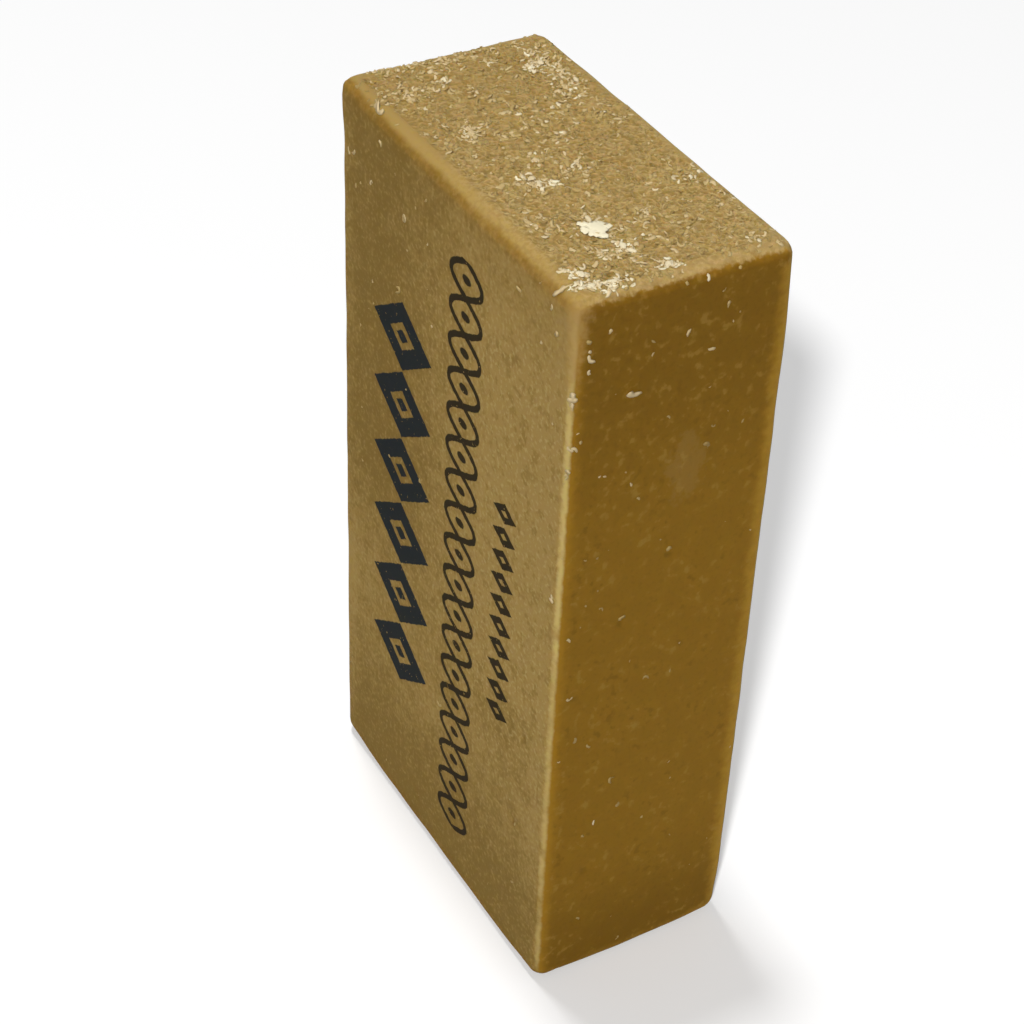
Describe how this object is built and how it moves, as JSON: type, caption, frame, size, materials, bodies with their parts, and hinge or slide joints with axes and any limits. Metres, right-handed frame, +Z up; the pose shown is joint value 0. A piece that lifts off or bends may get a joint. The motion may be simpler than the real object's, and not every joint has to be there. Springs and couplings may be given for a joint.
{
  "type": "gum eraser",
  "caption": "Rectangular block of soft, crumbly tan gum with rounded edges, for rubbing out pencil and cleaning drawings.",
  "frame": {"origin": "centre of the end face that the block stands on", "axes": "+Z up along the block's length, +X along the width of the broad faces, +Y through the thickness; the printed broad face looks along -Y"},
  "size_m": [0.026, 0.0132, 0.0495],
  "materials": {
    "gum": "matt, dusty and crumbly tan gum, slightly translucent"
  },
  "bodies": {
    "root": {"gum_block": "gum"}
  },
  "joints": []
}
